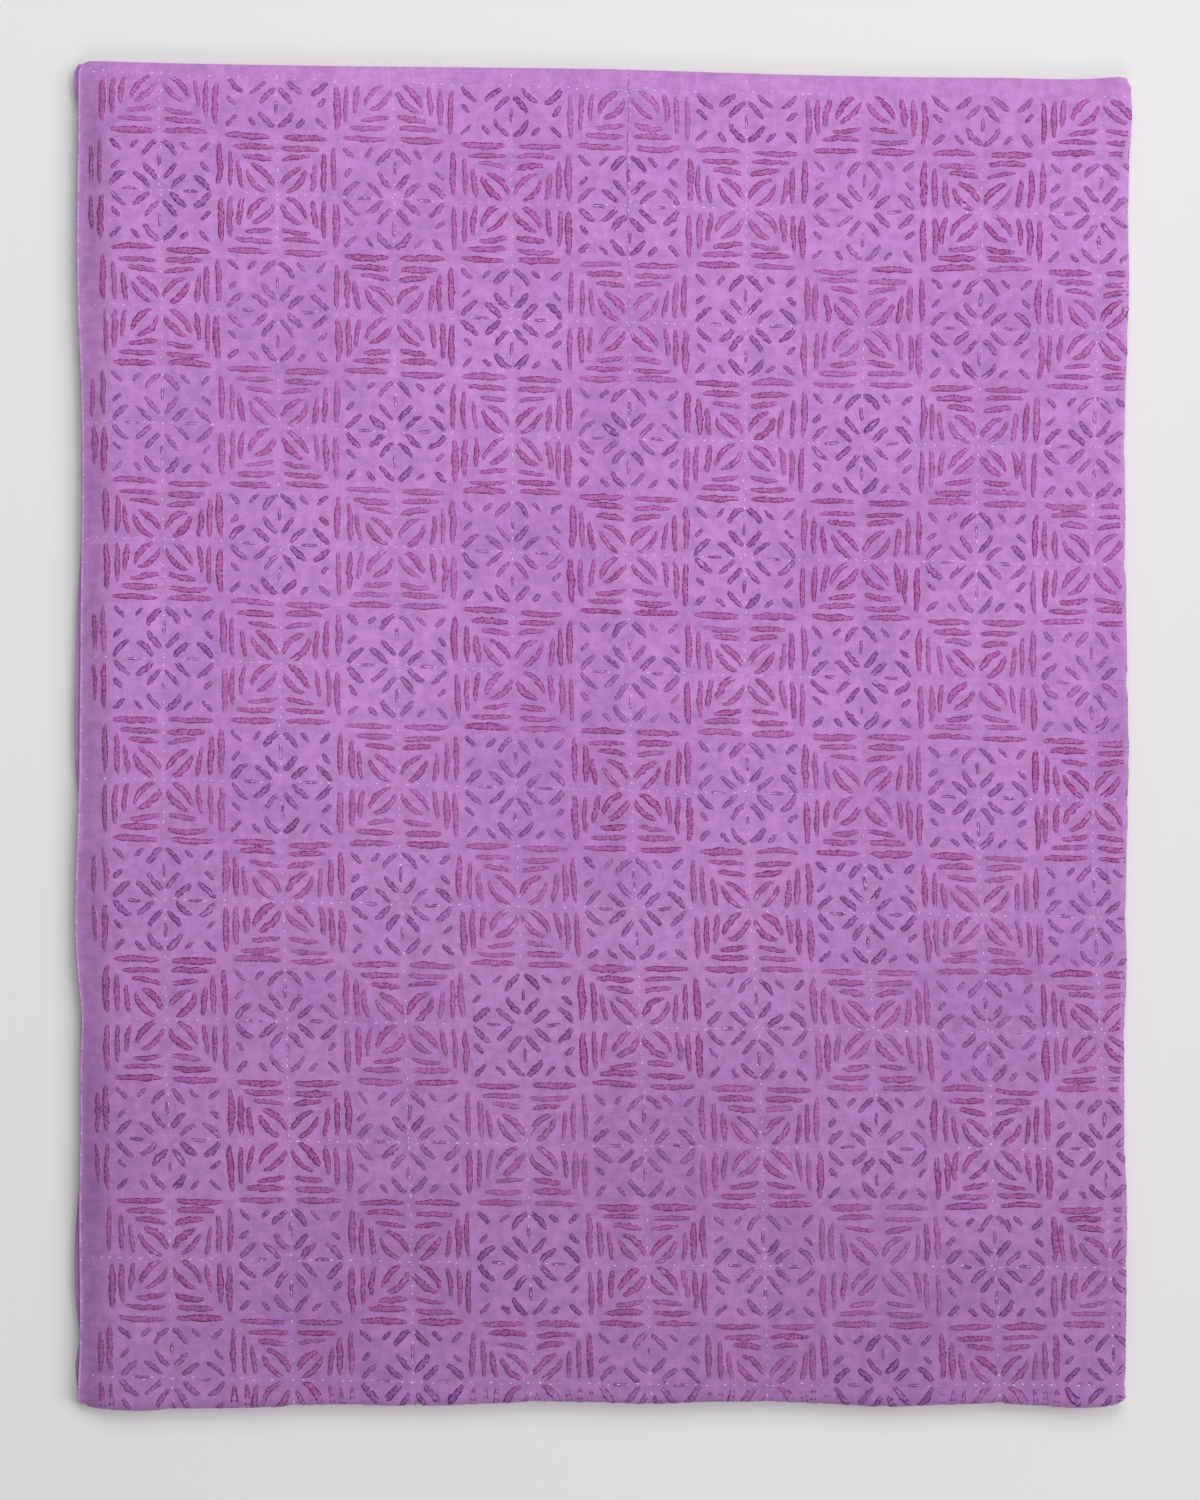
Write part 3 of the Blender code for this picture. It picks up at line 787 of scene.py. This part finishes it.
def makeCutwork(name, kind, area, steps, material, seed):
    # area is the columns and rows of blocks, steps the faces along and across a mark
    rng = np.random.default_rng(seed)
    marks = marksOf(kind, *area, rng)
    along, across = steps
    places, faces = leafTemplate(along, across)
    s = places[:, 0][None, :]
    t = places[:, 1][None, :]
    ci, cj, x0, y0, x1, y1, halfWidth, bow, tone, luck = [marks[:, k][:, None] for k in range(10)]
    runX = x1 - x0
    runY = y1 - y0
    length = np.hypot(runX, runY)
    station = np.rint(s * along).astype(int)
    wobble = rng.normal(0, cutwork["edgeWobble"], (len(marks), along + 1, 3))
    index = np.arange(len(marks))[:, None]
    wide = halfWidth * (4 * np.clip(s, 0, 1) * (1 - np.clip(s, 0, 1)) + 1e-9) ** cutwork["fullness"]
    edgeWobble = np.where(t > 0, wobble[index, station, 0], wobble[index, station, 1])
    off = t * wide * (1 + edgeWobble) + wobble[index, station, 2] * halfWidth * 0.5
    off = off + bow * length * 4 * s * (1 - s)
    x = x0 + runX * s - runY / length * off
    y = y0 + runY * s + runX / length * off
    u, v = clothFromBlocks(ci + x / 2, cj + y / 2)
    lift = np.interp(np.abs(t), [0, cutwork["rimAt"], 1],
                     [cutwork["floorLift"], cutwork["rimLift"], -cutwork["skirtDrop"]])
    if across > 2:
        lift = np.where((s < 0.01) | (s > 0.99), -0.0002, lift)
    else:
        lift = np.full(t.shape, 0.0002)    # the underside's marks are plain flat leaves
    w = frontHeight(u, v) + lift
    points = np.stack(foldedPlace(u, v, w), -1).reshape(-1, 3)
    perMark = places.shape[0]
    allFaces = [[corner + k * perMark for corner in face] for k in range(len(marks)) for face in faces]
    metres = s * length * quilt["blockAcross"] / 2
    full = np.ones_like(metres)
    maps = {
        "cloth": np.stack([u, v], -1).reshape(-1, 2),
        "mark": np.stack([metres, t * full], -1).reshape(-1, 2),
        "tone": np.stack([tone * full, luck * full], -1).reshape(-1, 2),
    }
    piece = newPiece(name, points, allFaces, material, maps)
    print("quilt:", name, len(marks), "marks")
    return piece


shownArea = (range(-1, 10), range(-1, 12))
underArea = (range(0, 9), range(12, 21))
crimsonCutwork = makeCutwork("crimsonCutwork", "crimson", shownArea, (9, 4), crimsonUnderCloth, 11)
slateCutwork = makeCutwork("slateCutwork", "slate", shownArea, (8, 4), slateUnderCloth, 12)
crimsonUnderside = makeCutwork("crimsonUnderside", "crimson", underArea, (5, 2), crimsonUnderCloth, 13)
slateUnderside = makeCutwork("slateUnderside", "slate", underArea, (4, 2), slateUnderCloth, 14)

stitching = {
    "pitch": 0.0099,
    "length": 0.0026,
    "width": 0.0010,
    "missing": 0.14,          # share of the stitches that don't show
    "stray": 0.006,           # in blocks
    "edgePitch": 0.0215,
    "edgeInset": 0.0018,
    "edgeLength": 0.0026,
    "edgeWidth": 0.0008,
    "edgeLean": (0.93, 0.37),
}


def stitchTemplate():
    # one small bead, drawn out along the stitch when it is placed
    bm = bmesh.new()
    bmesh.ops.create_uvsphere(bm, u_segments=6, v_segments=4, radius=1)
    bm.verts.ensure_lookup_table()
    places = np.array([vert.co[:] for vert in bm.verts])
    faces = [[vert.index for vert in face.verts] for face in bm.faces]
    bm.free()
    return places, faces


def joinedStitches(name, centres, directions, lengths, widths, material):
    # centres and directions are on the open cloth, in metres
    places, faces = stitchTemplate()
    along = places[:, 2][None, :] * lengths[:, None] / 2
    aside = places[:, 0][None, :] * widths[:, None] / 2
    lift = places[:, 1][None, :] * widths[:, None] * 0.42
    dirU = directions[:, 0][:, None]
    dirV = directions[:, 1][:, None]
    u = centres[:, 0][:, None] + dirU * along - dirV * aside
    v = centres[:, 1][:, None] + dirV * along + dirU * aside
    u = np.clip(u, 0, acrossTotal)
    v = np.clip(v, 0, downTotal)
    w = frontHeight(u, v) + lift + widths[:, None] * 0.18
    points = np.stack(foldedPlace(u, v, w), -1).reshape(-1, 3)
    count = places.shape[0]
    allFaces = [[corner + k * count for corner in face] for k in range(len(centres)) for face in faces]
    maps = {"cloth": np.stack([u, v], -1).reshape(-1, 2)}
    piece = newPiece(name, points, allFaces, material, maps)
    print("quilt:", name, len(centres), "stitches")
    return piece


def makeQuiltingStitches():
    # rows of stitches down and across the middles of the blocks
    rng = np.random.default_rng(21)
    column = []
    row = []
    downward = []
    for k in range(0, 9):
        steps = np.arange(-0.60, 11.2, stitching["pitch"] / quilt["blockDown"])
        column.append(np.full(len(steps), k + 0.5))
        row.append(steps)
        downward.append(np.ones(len(steps)))
    for k in range(-1, 11):
        steps = np.arange(-0.16, 9.1, stitching["pitch"] / quilt["blockAcross"])
        column.append(steps)
        row.append(np.full(len(steps), k + 0.5))
        downward.append(np.zeros(len(steps)))
    column = np.concatenate(column)
    row = np.concatenate(row)
    downward = np.concatenate(downward)
    count = len(column)
    column = column + rng.normal(0, stitching["stray"], count)
    row = row + rng.normal(0, stitching["stray"], count)
    u, v = clothFromBlocks(column, row)
    shows = (softNoise(u, v, 0.16, 31) > -0.45) & (rng.uniform(0, 1, count) > stitching["missing"])
    shows = shows & (v > 0.006) & (u > 0.004)
    u = u[shows]
    v = v[shows]
    downward = downward[shows]
    count = len(u)
    lean = rng.normal(0, 0.12, count)
    directions = np.stack([np.where(downward > 0, np.sin(lean), np.cos(lean)),
                           np.where(downward > 0, np.cos(lean), np.sin(lean))], 1)
    lengths = stitching["length"] * rng.uniform(0.6, 1.3, count)
    widths = stitching["width"] * rng.uniform(0.7, 1.2, count)
    centres = np.stack([u, v], 1)
    return joinedStitches("quiltingStitches", centres, directions, lengths, widths, whiteThread)


def makeEdgeStitches():
    # slanting whip stitches along the two sides and the far end of the open cloth
    rng = np.random.default_rng(22)
    centres = []
    directions = []
    inset = stitching["edgeInset"]
    most, least = stitching["edgeLean"]
    for v in np.arange(0.012, downTotal, stitching["edgePitch"]):
        for u in (inset, acrossTotal - inset):
            centres.append((u, v + rng.normal(0, 0.002)))
            directions.append((most, least))
    for u in np.arange(0.012, acrossTotal, stitching["edgePitch"]):
        centres.append((u + rng.normal(0, 0.002), downTotal - inset))
        directions.append((least, most))
    count = len(centres)
    centres = np.array(centres)
    directions = np.array(directions)
    lengths = stitching["edgeLength"] * rng.uniform(0.7, 1.2, count)
    widths = stitching["edgeWidth"] * rng.uniform(0.8, 1.2, count)
    return joinedStitches("edgeStitches", centres, directions, lengths, widths, whiteThread)


quiltingStitches = makeQuiltingStitches()
edgeStitches = makeEdgeStitches()

sewnOn = [crimsonCutwork, slateCutwork, crimsonUnderside, slateUnderside, quiltingStitches, edgeStitches]
for piece in [quiltCloth] + sewnOn:
    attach(piece, "root")
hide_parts("applique_quilt")

studio = {
    "metresInView": 1.536,    # height of the picture at the widest part of the fold
    "edgeFace": 0.014,        # how high that part is
    "cameraHeight": 3.2,
    "aimX": -0.0019,
    "aimY": -0.0149,
    "floorColour": (0.780, 0.777, 0.773),
    "floorSize": 20,
    "skyColour": (0.96, 0.97, 1.0),
    "skyStrength": 0.265,
}

# name, place, size in metres, power in watts and colour
lights = [
    ("sideLight", (12.0, 1.6, 11.5), 12.0, 1620, (1.0, 0.99, 0.98)),
    ("topLight", (0.6, 2.8, 3.4), 2.4, 81, (1.0, 0.99, 0.99)),
    ("nearLight", (0.3, -10.0, 8.0), 5.0, 270, (1.0, 0.99, 0.99)),
]


def makeFloor():
    bm = bmesh.new()
    bmesh.ops.create_grid(bm, x_segments=1, y_segments=1, size=studio["floorSize"])
    bmesh.ops.translate(bm, vec=(0, 0, -0.0003), verts=bm.verts[:])
    mesh = bpy.data.meshes.new("floor")
    bm.to_mesh(mesh)
    bm.free()
    material, tree, shader = newMaterial("paleFloor", 0.9)
    shader.inputs["Base Color"].default_value = (*studio["floorColour"], 1)
    mesh.materials.append(material)
    floor = bpy.data.objects.new("floor", mesh)
    bpy.context.scene.collection.objects.link(floor)


def makeLight(name, place, size, power, colour):
    # a square light that faces the middle of the quilt
    light = bpy.data.lights.new(name, "AREA")
    light.shape = "SQUARE"
    light.size = size
    light.energy = power
    light.color = colour
    holder = bpy.data.objects.new(name, light)
    holder.location = place
    aim = -np.array(place)
    holder.rotation_euler = (math.acos(aim[2] / -np.linalg.norm(aim)), 0,
                             math.atan2(aim[1], aim[0]) - math.pi / 2)
    bpy.context.scene.collection.objects.link(holder)


def makeStudio():
    makeFloor()
    for name, place, size, power, colour in lights:
        makeLight(name, place, size, power, colour)
    world = bpy.data.worlds.new("studioSky")
    world.use_nodes = True
    sky = world.node_tree.nodes["Background"]
    sky.inputs["Color"].default_value = (*studio["skyColour"], 1)
    sky.inputs["Strength"].default_value = studio["skyStrength"]
    bpy.context.scene.world = world
    lens = bpy.data.cameras.new("camera")
    lens.sensor_fit = "VERTICAL"
    lens.sensor_height = 36
    lens.lens = 36 * (studio["cameraHeight"] - studio["edgeFace"]) / studio["metresInView"]
    lens.clip_end = 50
    camera = bpy.data.objects.new("camera", lens)
    camera.location = (studio["aimX"], studio["aimY"], studio["cameraHeight"])
    bpy.context.scene.collection.objects.link(camera)
    bpy.context.scene.camera = camera
    bpy.context.scene.view_settings.view_transform = "Standard"
    print("quilt: studio set")


makeStudio()
